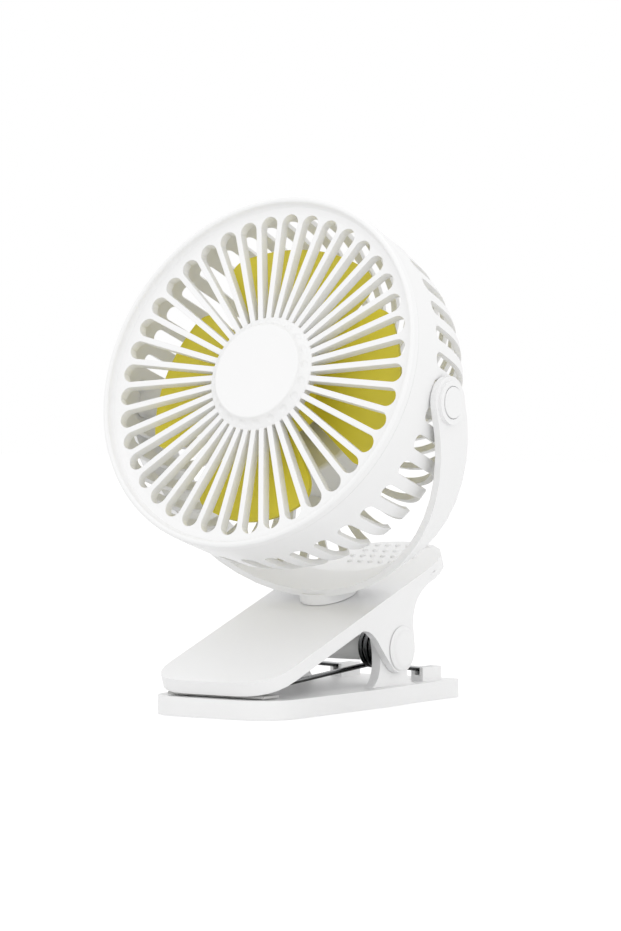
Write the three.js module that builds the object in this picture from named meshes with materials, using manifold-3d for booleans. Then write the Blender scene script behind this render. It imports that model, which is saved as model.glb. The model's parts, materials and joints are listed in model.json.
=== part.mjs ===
// Clip fan: a round fan head in a half-ring yoke on a sprung clip.
// Millimetres. +Z up, the fan and the clip's mouth face -Y, origin under the middle of the base jaw.
import * as THREE from 'three';
import { mergeVertices } from 'three/addons/utils/BufferGeometryUtils.js';
import Module from 'manifold-3d';

const wasm = await Module();
wasm.setup();

// Clearances
const seat = 0.3;                 // between pieces that touch
const rad = Math.PI / 180;

// Base jaw
const baseLength = 140;
const baseThickness = 7.5;
const baseHalfWidth = 31.2;
const tailHalfWidth = baseHalfWidth - 2.7;
const baseCorner = 18;
const tailCorner = 4.5;
const waistStart = 4.5;           // where the plan starts to narrow
const waistEnd = 46.5;
const footPadLength = 96;
const footPadWidth = 34;
const footPadThickness = 1.2;

// Clip hinge
const hingeY = 23;
const hingeZ = 22.7;
const hingePinRadius = 2.5;
const sleeveRadius = 5.35;
const baseEarInner = baseHalfWidth - 9.2;
const baseEarThickness = 4;
const baseEarRadius = 9;
const baseEarFoot = 16.5;         // from its front foot to the hinge
const baseEarWaist = 10.5;
const baseEarShoulder = 12.5;
const baseEarTail = 15.6;         // from the hinge to its rear foot
const jawEarRadius = 9.8;
const hingeCapRadius = 9.2;
const hingeCapFace = 7;
const hingeCapThickness = 1.4;

// The head's size and the pivot that carries it
const headRadius = 73;
const pivotRise = 48.8;           // of the pivot over the floor, beyond the head's radius
const pivotY = -13.5;
const pivotZ = headRadius + pivotRise;

// Upper jaw
const jawSlope = 19.5 * rad;
const jawThickness = 5.6;
const jawHalfWidth = baseHalfWidth - 1.8;
const jawFrontCorner = 17;
const jawRearCorner = 29;
const jawFrontTop = 14.11;        // height of its top's front edge
const jawFrontInset = 0.44;       // of its ends from the base's
const jawRearInset = 0.2;
const jawFrontY = jawFrontInset - baseLength / 2;
const jawTopUnderPivot = jawFrontTop + (pivotY - jawFrontY) * Math.tan(jawSlope);
const yokePlaneDrop = (pivotZ - jawTopUnderPivot) * Math.cos(jawSlope);
const swivelY = pivotY + yokePlaneDrop * Math.sin(jawSlope);
const jawTopAtSwivel = pivotZ - yokePlaneDrop * Math.cos(jawSlope);
const jawFront = (swivelY - jawFrontY) / Math.cos(jawSlope);
const jawRear = (baseLength / 2 - jawRearInset - swivelY) / Math.cos(jawSlope);
const gripBumpRadius = 1.4;
const gripBumpHeight = 0.8;
const gripPadThickness = 1.2;
const gripPadHalfWidth = baseHalfWidth - 8.2;
const gripPadLength = 10;

// Spring: one wire, two coils on the hinge sleeve, a closed front loop and two rear legs
const wireDiameter = 2;
const coilMeanRadius = 7.25;
const coilTurns = 3;
const coilPitch = 2.55;
const coilInnerX = baseHalfWidth - 18.8;
const springFront = baseLength / 2 - 27;   // the front loop's bar, in front of the origin
const springFrontZ = 11.2;
const springRear = baseLength / 2 - 9;
const springRearZ = 11.2;
const springBend = 4;
const hookWidth = 4;
const hookX = 5.5;
const hookThickness = 1.4;
const springBlockLength = 14;
const springBlockHeight = 5.5;
const springBlockWall = 1.5;

// Swivel and yoke
const yokeClearance = 2.6;        // of the arms' outside from the head's
const yokeRadiusX = headRadius + yokeClearance;
const yokeFloorGap = 3.4;         // under the yoke, to the upper jaw
const yokeDrop = yokePlaneDrop - yokeFloorGap;
const yokeThickness = 2.75;
const yokeWidth = 20.6;
const yokePower = 2.03;           // superellipse power of the yoke's curve
const swivelBossRadius = 12;
const swivelStemRadius = 5;
const swivelWasherRadius = 9;
const swivelWasherThickness = 1.2;
const swivelScrewRadius = 3.2;
const swivelScrewHead = 1.6;
const swivelScrewShank = 1.4;
const pivotCollarRadius = 8.6;
const pivotCollarHeight = 1.3;
const pivotCapRadius = 6.2;
const pivotCapRise = 0.4;
const pivotScrewShank = 2;
const pivotScrewHead = 4.3;
const pivotScrewHeadHeight = 1.5;
const pivotBossRadius = 6.6;
const frictionWasherRadius = 4.8;
const frictionWasherThickness = 1.2;
const pivotBossGap = 0.8;         // boss to the yoke's arm, at the pivot

// Fan head: its own frame has +Z out of the grille and +Y up the grille's face
const headTilt = 19.3 * rad;
const headAxisRise = 4.1;         // of the fan axis over the pivot
const headFrontReach = 22.9;      // of the parting line in front of the pivot
const shellWall = 2.2;
const ribPitch = 9 * rad;         // grille slots and housing slots
const slotCount = Math.round(2 * Math.PI / ribPitch);
const grilleSlotOuter = headRadius - 6.2;
const grilleSlotWide = 3.75;      // half widths
const grilleSlotNarrow = 0.75;
const grilleDepth = 4.4;
const hubDiscRadius = 19.7;
const grilleSlotInner = hubDiscRadius + 3.5;
const hubDiscRise = 3.2;
const hubNotchCount = 20;
const hubNotchRadius = 1.5;
const housingDepth = 58;
const backRadius = headRadius - 25;
const slotStart = 13.8;           // depth of the side slots' front ends
const sideSlotHalf = 3.1;
const slotFullRadius = headRadius - 7;        // inside this radius the slots narrow with it
const slotEndRadius = 37.5;       // where the slots end round the pod
const slotSwirl = 16 * rad;       // from that radius to the slots' ends
const podRadius = 33;
const podWall = 2;
const podLength = 27;
const podFront = housingDepth - podLength;  // depth of the pod's front wall

// Impeller and motor
const bladeCount = 4;
const bladeTip = headRadius - 16;
const bladeFrontDepth = 7;
const bladeRearDepth = 19;
const bladeSpan = 73 * rad;
const bladeThickness = 1.6;
const bladeCorner = 9;
const impellerHubRadius = 19;
const impellerHubWall = 2;
const impellerHubFront = 5.4;
const impellerHubDepth = 16;
const motorRadius = 12;
const motorFront = 13;            // depth of its front
const motorLength = podFront - motorFront;
const shaftRadius = 1;
const shaftBossRadius = 3.5;
const shaftBossLength = 5;

// Inside the pod
const coverThickness = 2;
const cellRadius = 9;
const cellLength = 50;
const cellY = 8;
const boardWidth = 34;
const boardHeight = 17;
const boardThickness = 1.6;
const boardY = -12.5;
const boardDepth = housingDepth - 9;
const switchSide = 6;
const switchHeight = 3;
const socketWidth = 9;
const socketHeight = 3.2;
const socketInset = 0.4;          // of its mouth behind the cover's face
const buttonY = -10;
const buttonRadius = 5;
const buttonTravel = 0.8;
const buttonRise = 1.6;
const buttonFlange = 1;
const lensRadius = 1.2;
const lensX = 10;
const coverScrewRing = 26.5;
const coverScrewRadius = 1.2;
const coverScrewHead = 2.2;
const coverPostRadius = 2.8;

// Colours, roughness and metalness
function finish(color, roughness, metalness = 0) {
  return new THREE.MeshStandardMaterial({ color, roughness, metalness });
}

const whitePlastic = finish(0xf1f1f0, 0.35);
const yellowPlastic = finish(0xd3c43c, 0.4);
const greyRubber = finish(0xb9b9b6, 0.85);
const chromeWire = finish(0xb8babd, 0.15, 1);
const steel = finish(0x9c9da0, 0.35, 1);
const boardGreen = finish(0x2f5a3c, 0.5);
const blackPlastic = finish(0x2b2b2d, 0.5);
const lensPlastic = finish(0xd9e6ea, 0.2);

// ---- Shape helpers ----

function solid(geometry) {
  geometry.deleteAttribute('normal');
  geometry.deleteAttribute('uv');
  const merged = mergeVertices(geometry, 1e-4);
  const vertProperties = new Float32Array(merged.attributes.position.array);
  const triVerts = new Uint32Array(merged.index.array);
  const made = new wasm.Manifold(new wasm.Mesh({ numProp: 3, vertProperties, triVerts }));
  if (made.volume() > 0) {
    return made;
  }
  const turnedOut = triVerts.map((vertex, i) => triVerts[i % 3 === 0 ? i + 1 : i % 3 === 1 ? i - 1 : i]);
  return new wasm.Manifold(new wasm.Mesh({ numProp: 3, vertProperties, triVerts: turnedOut }));
}

function geometryOf(manifold) {
  const mesh = manifold.getMesh();
  const geometry = new THREE.BufferGeometry();
  geometry.setAttribute('position', new THREE.BufferAttribute(new Float32Array(mesh.vertProperties), 3));
  geometry.setIndex(new THREE.BufferAttribute(new Uint32Array(mesh.triVerts), 1));
  geometry.computeVertexNormals();
  return geometry;
}

function named(name, shape, material) {
  const mesh = new THREE.Mesh(shape.isBufferGeometry ? shape : geometryOf(shape), material);
  mesh.name = name;
  return mesh;
}

function box(width, depth, height, x = 0, y = 0, z = 0) {
  return solid(new THREE.BoxGeometry(width, depth, height).translate(x, y, z));
}

// Round bar along Z from z0 to z1
function barZ(radius, z0, z1, sides = 24, x = 0, y = 0) {
  const bar = new THREE.CylinderGeometry(radius, radius, z1 - z0, sides).rotateX(Math.PI / 2);
  return solid(bar.translate(x, y, (z0 + z1) / 2));
}

// Round bar along X from x0 to x1 about (y, z)
function barX(radius, x0, x1, y = 0, z = 0, sides = 24) {
  const bar = new THREE.CylinderGeometry(radius, radius, x1 - x0, sides).rotateZ(Math.PI / 2);
  return solid(bar.translate((x0 + x1) / 2, y, z));
}

// Plan outline in XY, extruded up from z0
function slab(shape, height, z0 = 0, curveSegments = 6) {
  const plate = new THREE.ExtrudeGeometry(shape, { depth: height, bevelEnabled: false, curveSegments });
  return solid(plate.translate(0, 0, z0));
}

// Side outline in YZ, extruded along X from x0
function slabX(shape, width, x0, curveSegments = 6) {
  const plate = new THREE.ExtrudeGeometry(shape, { depth: width, bevelEnabled: false, curveSegments });
  const turn = new THREE.Matrix4().set(0, 0, 1, x0, 1, 0, 0, 0, 0, 1, 0, 0, 0, 0, 0, 1);
  return solid(plate.applyMatrix4(turn));
}

// Closed profile of [radius, z] points, turned about Z
function turned(points, segments) {
  const profile = points.map(([radius, z]) => new THREE.Vector2(radius, z));
  return solid(new THREE.LatheGeometry(profile, segments).rotateX(Math.PI / 2));
}

function polygon(points) {
  return new THREE.Shape(points.map(([u, v]) => new THREE.Vector2(u, v)));
}

// Mirror image of a solid across the plane X = 0
function mirrored(manifold) {
  return manifold.mirror([1, 0, 0]);
}

function both(manifold) {
  return manifold.add(mirrored(manifold));
}

// ---- Clip ----

const baseEarOuter = baseEarInner + baseEarThickness;
const jawEarInner = baseEarOuter + seat;
const jawEarOuter = jawHalfWidth;
const jawRise = Math.tan(jawSlope);
const jawThicknessUpright = jawThickness / Math.cos(jawSlope);
const jawTopAt = (y) => jawTopAtSwivel + (y - swivelY) * jawRise;
const jawUndersideAt = (y) => jawTopAt(y) - jawThicknessUpright;

function basePlan() {
  const half = baseLength / 2;
  const plan = new THREE.Shape();
  const waist = (waistEnd - waistStart) / 2;
  plan.moveTo(-baseHalfWidth + baseCorner, -half);
  plan.lineTo(baseHalfWidth - baseCorner, -half);
  plan.quadraticCurveTo(baseHalfWidth, -half, baseHalfWidth, -half + baseCorner);
  plan.lineTo(baseHalfWidth, waistStart);
  plan.bezierCurveTo(
    baseHalfWidth, waistStart + waist, tailHalfWidth, waistEnd - waist, tailHalfWidth, waistEnd);
  plan.lineTo(tailHalfWidth, half - tailCorner);
  plan.quadraticCurveTo(tailHalfWidth, half, tailHalfWidth - tailCorner, half);
  plan.lineTo(-tailHalfWidth + tailCorner, half);
  plan.quadraticCurveTo(-tailHalfWidth, half, -tailHalfWidth, half - tailCorner);
  plan.lineTo(-tailHalfWidth, waistEnd);
  plan.bezierCurveTo(
    -tailHalfWidth, waistEnd - waist, -baseHalfWidth, waistStart + waist, -baseHalfWidth, waistStart);
  plan.lineTo(-baseHalfWidth, -half + baseCorner);
  plan.quadraticCurveTo(-baseHalfWidth, -half, -baseHalfWidth + baseCorner, -half);
  return plan;
}

function baseEar() {
  const side = new THREE.Shape();
  const root = baseThickness - 1;
  const footY = hingeY - baseEarFoot;
  const waistY = hingeY - baseEarWaist;
  const shoulderY = hingeY - baseEarShoulder;
  const tailY = hingeY + baseEarTail;
  const rearY = hingeY + baseEarRadius;
  side.moveTo(footY, root);
  side.lineTo(footY, baseThickness);
  side.quadraticCurveTo(waistY, baseThickness + 3, waistY, hingeZ - 5);
  side.quadraticCurveTo(waistY, hingeZ + 1, shoulderY, hingeZ + 6);
  side.quadraticCurveTo(shoulderY, hingeZ + baseEarRadius, hingeY - 6, hingeZ + baseEarRadius);
  side.lineTo(hingeY, hingeZ + baseEarRadius);
  side.absarc(hingeY, hingeZ, baseEarRadius, Math.PI / 2, 0, true);
  side.lineTo(rearY, baseThickness + 6);
  side.quadraticCurveTo(rearY, baseThickness + 1, tailY, baseThickness);
  side.lineTo(tailY, root);
  return slabX(side, baseEarThickness, baseEarInner);
}

function coilOuterX() {
  return coilInnerX + coilTurns * coilPitch;
}

// Block on the base's tail whose open channel holds a rear leg of the spring
function springBlock() {
  const channelHalf = wireDiameter / 2 + seat;
  const width = 2 * (channelHalf + springBlockWall);
  const front = springRear + seat + springBlockWall - springBlockLength;
  const floor = springRearZ - wireDiameter / 2 - seat;
  const root = baseThickness - 1;
  const top = baseThickness + springBlockHeight;
  const middle = (root + top) / 2;
  const blockY = front + springBlockLength / 2;
  const block = box(width, springBlockLength, top - root, coilOuterX(), blockY, middle);
  const channelLength = springRear + seat - front + 5;
  const channel = box(
    2 * channelHalf, channelLength, 10, coilOuterX(), springRear + seat - channelLength / 2, floor + 5);
  return block.subtract(channel);
}

function lowerJaw() {
  const recess = box(
    footPadWidth + 2 * seat, footPadLength + 2 * seat, 2 * (footPadThickness + seat));
  return slab(basePlan(), baseThickness)
    .subtract(recess)
    .add(both(baseEar()))
    .add(both(springBlock()))
    .subtract(barX(hingePinRadius + seat, -baseHalfWidth, baseHalfWidth, hingeY, hingeZ, 20));
}

function footPad() {
  return box(footPadWidth, footPadLength, footPadThickness, 0, 0, footPadThickness / 2);
}

const lowerPadFront = baseLength / 2 - 6;

function lowerGripPad() {
  const middleZ = baseThickness + seat + gripPadThickness / 2;
  const middleY = -lowerPadFront + gripPadLength / 2;
  return box(2 * gripPadHalfWidth, gripPadLength, gripPadThickness, 0, middleY, middleZ);
}

function jawPlan() {
  const plan = new THREE.Shape();
  plan.moveTo(-jawHalfWidth + jawFrontCorner, -jawFront);
  plan.lineTo(jawHalfWidth - jawFrontCorner, -jawFront);
  plan.quadraticCurveTo(jawHalfWidth, -jawFront, jawHalfWidth, -jawFront + jawFrontCorner);
  plan.lineTo(jawHalfWidth, jawRear - jawRearCorner);
  plan.quadraticCurveTo(jawHalfWidth, jawRear, jawHalfWidth - jawRearCorner, jawRear);
  plan.lineTo(-jawHalfWidth + jawRearCorner, jawRear);
  plan.quadraticCurveTo(-jawHalfWidth, jawRear, -jawHalfWidth, jawRear - jawRearCorner);
  plan.lineTo(-jawHalfWidth, -jawFront + jawFrontCorner);
  plan.quadraticCurveTo(-jawHalfWidth, -jawFront, -jawHalfWidth + jawFrontCorner, -jawFront);
  return plan;
}

// Turns a solid made on the jaw's top plane (z = 0, y along the slope) into its place
function onJaw(manifold) {
  return manifold.rotate([jawSlope / rad, 0, 0]).translate([0, swivelY, jawTopAtSwivel]);
}

function jawEar() {
  const front = hingeY - 25;
  const rear = hingeY + 25.5;
  const embed = jawThicknessUpright / 2;
  const side = new THREE.Shape();
  side.moveTo(front - 3, jawUndersideAt(front - 3) + embed);
  side.lineTo(front - 3, jawUndersideAt(front - 3));
  side.quadraticCurveTo(front + 4, jawUndersideAt(front + 4) - 2, front + 10, hingeZ + 1);
  side.lineTo(hingeY - 8, hingeZ - 6);
  side.absarc(hingeY, hingeZ, jawEarRadius, -145 * rad, 0, false);
  side.lineTo(hingeY + jawEarRadius - 1.2, hingeZ + 8);
  side.quadraticCurveTo(hingeY + 7, hingeZ + 22, rear, jawUndersideAt(rear));
  side.lineTo(rear, jawUndersideAt(rear) + embed);
  return slabX(side, jawEarOuter - jawEarInner, jawEarInner);
}

// J-shaped hook under the jaw that the front bar of the spring pulls down on
function springHook() {
  const lipTop = springFrontZ - wireDiameter / 2 - seat;
  const webRear = -springFront - wireDiameter / 2 - seat;
  const webFront = webRear - hookThickness;
  const lipEnd = -springFront + wireDiameter / 2;
  const top = jawUndersideAt(webFront) + jawThicknessUpright / 2;
  const side = polygon([
    [webFront, top], [webFront, lipTop - hookThickness], [lipEnd, lipTop - hookThickness],
    [lipEnd, lipTop], [webRear, lipTop], [webRear, top]]);
  return slabX(side, hookWidth, hookX - hookWidth / 2);
}

// Staggered rows of low bumps on the press end of the jaw
function gripBumps() {
  const rows = 4;
  const rowPitch = 6;
  const bumpPitch = 5;
  let bumps = null;
  for (let row = 0; row < rows; row += 1) {
    const count = row % 2 === 0 ? 7 : 6;
    for (let column = 0; column < count; column += 1) {
      const x = (column - (count - 1) / 2) * bumpPitch;
      const y = jawRear - 5 - row * rowPitch;
      const bump = new THREE.CylinderGeometry(0.6 * gripBumpRadius, gripBumpRadius, 2 * gripBumpHeight, 5);
      const placed = solid(bump.rotateX(Math.PI / 2).translate(x, y, 0));
      bumps = bumps ? bumps.add(placed) : placed;
    }
  }
  return bumps;
}

function upperJaw() {
  const swivelHole = barZ(swivelStemRadius + seat, -2 * jawThickness, jawThickness);
  const plate = slab(jawPlan(), jawThickness, -jawThickness).add(gripBumps()).subtract(swivelHole);
  return onJaw(plate)
    .add(both(jawEar()))
    .add(both(springHook()))
    .subtract(barX(hingePinRadius + seat, -jawEarOuter - 1, jawEarOuter + 1, hingeY, hingeZ, 20));
}

function upperGripPad() {
  const front = -jawFront + 11.5;
  const z = -jawThickness - seat - gripPadThickness / 2;
  return onJaw(box(2 * gripPadHalfWidth, gripPadLength, gripPadThickness, 0, front + gripPadLength / 2, z));
}

function hingePin() {
  return barX(hingePinRadius, -jawEarOuter, jawEarOuter, hingeY, hingeZ, 20);
}

function springSleeve() {
  const half = baseEarInner - seat;
  return barX(sleeveRadius, -half, half, hingeY, hingeZ, 24)
    .subtract(barX(hingePinRadius + seat, -half - 1, half + 1, hingeY, hingeZ, 20));
}

function hingeCap() {
  const inner = jawEarOuter + seat;
  const disc = new THREE.CylinderGeometry(hingeCapFace, hingeCapRadius, hingeCapThickness, 26);
  disc.rotateZ(-Math.PI / 2);
  return solid(disc.translate(inner + hingeCapThickness / 2, hingeY, hingeZ));
}

// ---- Spring ----

// Centre line of the right half: rear leg, coil from the outside in, front leg, bend, half of the front bar
function springHalf() {
  const points = [];
  const bottom = hingeZ - coilMeanRadius;
  const rearSlope = Math.atan2(bottom - springRearZ, springRear - hingeY);
  const frontSlope = Math.atan2(bottom - springFrontZ, hingeY + springFront);
  const outer = coilOuterX();
  const startAngle = -Math.PI / 2 + rearSlope;
  const endAngle = -Math.PI / 2 - frontSlope - 2 * Math.PI * coilTurns;
  const steps = 8 * coilTurns;
  const start = new THREE.Vector3(
    outer, hingeY + coilMeanRadius * Math.cos(startAngle), hingeZ + coilMeanRadius * Math.sin(startAngle));
  const rearEnd = new THREE.Vector3(outer, springRear, springRearZ);
  points.push(rearEnd);
  points.push(rearEnd.clone().lerp(start, 2 * wireDiameter / rearEnd.distanceTo(start)));
  for (let step = 0; step <= steps; step += 1) {
    const share = step / steps;
    const angle = startAngle + (endAngle - startAngle) * share;
    points.push(new THREE.Vector3(
      outer - (outer - coilInnerX) * share,
      hingeY + coilMeanRadius * Math.cos(angle),
      hingeZ + coilMeanRadius * Math.sin(angle)));
  }
  for (let step = 0; step <= 4; step += 1) {
    const turn = step / 4 * Math.PI / 2;
    points.push(new THREE.Vector3(
      coilInnerX - springBend * (1 - Math.cos(turn)),
      -springFront + springBend * (1 - Math.sin(turn)),
      springFrontZ));
  }
  return points;
}

function springPath() {
  const right = springHalf();
  const left = right.map((point) => new THREE.Vector3(-point.x, point.y, point.z)).reverse();
  return [...right, ...left];
}

// Closed tube of five sides round a line of points, its section carried along without twist
function wireTube(points, radius) {
  const sides = 5;
  const vertices = [];
  const triangles = [];
  const step = (i) => points[i + 1].clone().sub(points[i]).normalize();
  const direction = (i) => {
    const before = step(Math.max(i - 1, 0));
    return before.add(step(Math.min(i, points.length - 2))).normalize();
  };
  let across = new THREE.Vector3(1, 0, 0);
  points.forEach((point, i) => {
    const along = direction(i);
    across = across.clone().addScaledVector(along, -across.dot(along)).normalize();
    const other = along.clone().cross(across);
    for (let side = 0; side < sides; side += 1) {
      const angle = 2 * Math.PI * side / sides;
      const corner = point.clone()
        .addScaledVector(across, radius * Math.cos(angle))
        .addScaledVector(other, radius * Math.sin(angle));
      vertices.push(corner.x, corner.y, corner.z);
    }
  });
  for (let i = 0; i + 1 < points.length; i += 1) {
    for (let side = 0; side < sides; side += 1) {
      const a = i * sides + side;
      const b = i * sides + (side + 1) % sides;
      triangles.push(a, b, b + sides, a, b + sides, a + sides);
    }
  }
  const last = (points.length - 1) * sides;
  for (let side = 1; side + 1 < sides; side += 1) {
    triangles.push(0, side + 1, side);
    triangles.push(last, last + side, last + side + 1);
  }
  const geometry = new THREE.BufferGeometry();
  geometry.setAttribute('position', new THREE.BufferAttribute(new Float32Array(vertices), 3));
  geometry.setIndex(triangles);
  return geometry;
}

// Least gap of the wire to itself, measured between points far enough apart along it
function leastGap(points) {
  const dense = [];
  for (let i = 0; i + 1 < points.length; i += 1) {
    const pieces = Math.max(1, Math.ceil(points[i].distanceTo(points[i + 1])));
    for (let k = 0; k < pieces; k += 1) {
      dense.push(points[i].clone().lerp(points[i + 1], k / pieces));
    }
  }
  let least = Infinity;
  const apart = Math.ceil(4 * wireDiameter);
  for (let i = 0; i < dense.length; i += 1) {
    for (let k = i + apart; k < dense.length; k += 1) {
      least = Math.min(least, dense[i].distanceTo(dense[k]));
    }
  }
  return least - wireDiameter;
}

function torsionSpring() {
  const path = springPath();
  console.log(`torsion_spring least gap to itself ${leastGap(path).toFixed(2)} mm`);
  return wireTube(path, wireDiameter / 2);
}

// ---- Yoke: in its own frame +Z is the swivel axis and the origin is the tilt pivot ----

const yokeInnerX = yokeRadiusX - yokeThickness;
const yokeTopEnd = yokeWidth / 2;
const capSeat = yokeRadiusX + 0.5;    // floor of the recess for the pivot cap

function yokeArc(radiusX, radiusZ, steps) {
  const points = [];
  for (let step = 0; step <= steps; step += 1) {
    const turn = Math.PI * step / steps;
    const c = Math.cos(turn);
    const s = Math.sin(turn);
    points.push([
      radiusX * Math.sign(c) * Math.abs(c) ** (2 / yokePower),
      -radiusZ * Math.abs(s) ** (2 / yokePower)]);
  }
  return points;
}

function pivotCollar() {
  const outer = yokeRadiusX + pivotCollarHeight;
  return barX(pivotCollarRadius, yokeInnerX + 1, outer, 0, 0, 28)
    .subtract(barX(pivotCapRadius + seat, capSeat, outer + 1, 0, 0, 28));
}

function pivotBore() {
  const headSeat = yokeInnerX + 1.4;
  return barX(pivotScrewShank + seat, 0, headSeat + 1, 0, 0, 20)
    .add(barX(pivotScrewHead + seat, headSeat, capSeat + 0.5, 0, 0, 24));
}

function yoke() {
  const steps = 26;
  const outerArc = yokeArc(yokeRadiusX, yokeDrop, steps);
  const outer = [[yokeRadiusX, yokeTopEnd], ...outerArc, [-yokeRadiusX, yokeTopEnd]];
  const inner = [
    [-yokeInnerX, yokeTopEnd],
    ...yokeArc(yokeInnerX, yokeDrop - yokeThickness, steps).reverse(),
    [yokeInnerX, yokeTopEnd]];
  const arc = polygon([...outer, ...inner]);
  const band = new THREE.ExtrudeGeometry(arc, { depth: yokeWidth, bevelEnabled: false });
  const strip = solid(band.rotateX(Math.PI / 2).translate(0, yokeWidth / 2, 0));
  const side = new THREE.Shape();
  side.moveTo(-yokeWidth / 2, -yokePlaneDrop);
  side.lineTo(yokeWidth / 2, -yokePlaneDrop);
  side.lineTo(yokeWidth / 2, 0);
  side.absarc(0, 0, yokeWidth / 2, 0, Math.PI, false);
  const mask = slabX(side, 2 * yokePlaneDrop, -yokePlaneDrop, 8);
  const bossBottom = -yokePlaneDrop + seat;
  const stemBottom = -yokePlaneDrop - jawThickness;
  const boss = barZ(swivelBossRadius, bossBottom, -yokeDrop + yokeThickness / 2, 32);
  const stem = barZ(swivelStemRadius, stemBottom, -yokeDrop + yokeThickness / 2, 24);
  const screwBore = barZ(swivelScrewShank + seat, stemBottom - 1, stemBottom + 7, 16);
  return strip.intersect(mask)
    .add(both(pivotCollar()))
    .subtract(both(pivotBore()))
    .add(boss)
    .add(stem)
    .subtract(screwBore);
}

function swivelWasher() {
  const top = -yokePlaneDrop - jawThickness - seat;
  return barZ(swivelWasherRadius, top - swivelWasherThickness, top, 24)
    .subtract(barZ(swivelScrewShank + seat, top - swivelWasherThickness - 1, top + 1, 16));
}

function swivelScrew() {
  const headTop = -yokePlaneDrop - jawThickness - 2 * seat - swivelWasherThickness;
  return barZ(swivelScrewRadius, headTop - swivelScrewHead, headTop, 20)
    .add(barZ(swivelScrewShank, headTop - 0.5, headTop + 7, 16));
}

function pivotCap() {
  return barX(pivotCapRadius, capSeat + seat, yokeRadiusX + pivotCollarHeight + pivotCapRise, 0, 0, 28);
}

// ---- Fan head, depth measured back from the parting line ----

const housingOutline = [
  [0, headRadius], [slotStart, headRadius - 0.55], [0.483 * housingDepth, headRadius - 1.6],
  [0.655 * housingDepth, headRadius - 4], [0.802 * housingDepth, headRadius - 8],
  [0.922 * housingDepth, headRadius - 14.8], [housingDepth - 0.2, backRadius - 1]];
const partingGap = 0.9;           // the grille's rim and the housing meet this far before depth 0

function grilleSlot() {
  const slot = new THREE.Shape();
  const reach = grilleSlotOuter - grilleSlotWide;
  const start = grilleSlotInner + grilleSlotNarrow;
  slot.moveTo(start, -grilleSlotNarrow);
  slot.lineTo(reach, -grilleSlotWide);
  slot.absarc(reach, 0, grilleSlotWide, -Math.PI / 2, Math.PI / 2, false);
  slot.lineTo(start, grilleSlotNarrow);
  slot.absarc(start, 0, grilleSlotNarrow, Math.PI / 2, 3 * Math.PI / 2, false);
  return slot;
}

function frontGrille() {
  const skirt = headRadius - shellWall - seat - 0.2;
  const face = turned([
    [0, hubDiscRise], [hubDiscRadius - 0.8, hubDiscRise], [hubDiscRadius, hubDiscRise - 0.6],
    [grilleSlotInner - 1.2, 0.3], [grilleSlotInner + 0.5, -0.2], [grilleSlotOuter, 0.6],
    [headRadius - 2.9, 1.8], [headRadius - 2.4, 4.4], [headRadius - 1.4, 5], [headRadius, 3.4],
    [headRadius, partingGap],
    [skirt, partingGap], [skirt, -5.2], [skirt - 2.2, -grilleDepth],
    [grilleSlotInner, -grilleDepth], [hubDiscRadius - 2, -1.6], [0, -1.6]], 48);
  const cutter = slab(grilleSlot(), 12, -8, 2);
  let grille = face;
  for (let i = 0; i < slotCount; i += 1) {
    grille = grille.subtract(cutter.rotate([0, 0, i * ribPitch / rad]));
  }
  for (let i = 0; i < hubNotchCount; i += 1) {
    const notch = new THREE.CylinderGeometry(hubNotchRadius, hubNotchRadius, 1.4, 6);
    const angle = (i + 0.5) * 2 * Math.PI / hubNotchCount;
    notch.rotateZ(Math.PI / 2).scale(1, 1.3, 0.7);
    notch.translate(hubDiscRadius + 1.6, 0, 2.1);
    grille = grille.subtract(solid(notch).rotate([0, 0, angle / rad]));
  }
  return grille;
}

// One rib of the housing, between two slots: wide where the slots' ends are round, then along the side,
// over the rear corner with a swirl and in to the pod's flange
function housingRib() {
  const path = housingOutline.filter(([depth]) => depth >= slotStart)
    .map(([depth, radius]) => new THREE.Vector2(radius, depth));
  path.push(new THREE.Vector2(slotEndRadius - 1, housingDepth));
  const lengths = [0];
  for (let i = 1; i < path.length; i += 1) {
    lengths.push(lengths[i - 1] + path[i].distanceTo(path[i - 1]));
  }
  const stations = [-0.8, 0.8, sideSlotHalf, ...lengths.slice(1)];
  const rib = new THREE.BoxGeometry(1, 1, 1, 1, 1, stations.length - 1);
  const position = rib.attributes.position;
  for (let i = 0; i < position.count; i += 1) {
    const length = stations[Math.round((position.getZ(i) + 0.5) * (stations.length - 1))];
    const section = Math.max(1, lengths.findIndex((end) => end >= length));
    const before = path[section - 1];
    const along = path[section].clone().sub(before).normalize();
    const place = before.clone().addScaledVector(along, length - lengths[section - 1]);
    const inward = position.getY(i) > 0 ? 0 : shellWall;
    const radius = place.x - along.y * inward;
    const depth = place.y + along.x * inward;
    const fromEnd = Math.min(1, Math.max(0, length / sideSlotHalf));
    const widest = sideSlotHalf * Math.min(1, place.x / slotFullRadius);
    const slotHalf = widest * Math.sqrt(1 - (1 - fromEnd) ** 2);
    const ribHalf = place.x * ribPitch / 2 - Math.max(slotHalf, 0.2);
    const turned = Math.max(0, (slotFullRadius - place.x) / (slotFullRadius - slotEndRadius));
    const angle = ribPitch / 2 - slotSwirl * turned + Math.sign(position.getX(i)) * ribHalf / place.x;
    position.setXYZ(i, radius * Math.cos(angle), radius * Math.sin(angle), -depth);
  }
  return solid(rib);
}

// Whole front band of the housing, before the slots start
function housingBand() {
  const outer = housingOutline.filter(([depth]) => depth <= slotStart);
  const start = partingGap - seat;
  const end = outer[outer.length - 1][1];
  return turned([
    [headRadius - shellWall, start], [headRadius, start],
    ...outer.slice(1).map(([depth, radius]) => [radius, -depth]),
    [end - shellWall, -slotStart], [headRadius - shellWall, start]], 60);
}

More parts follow.
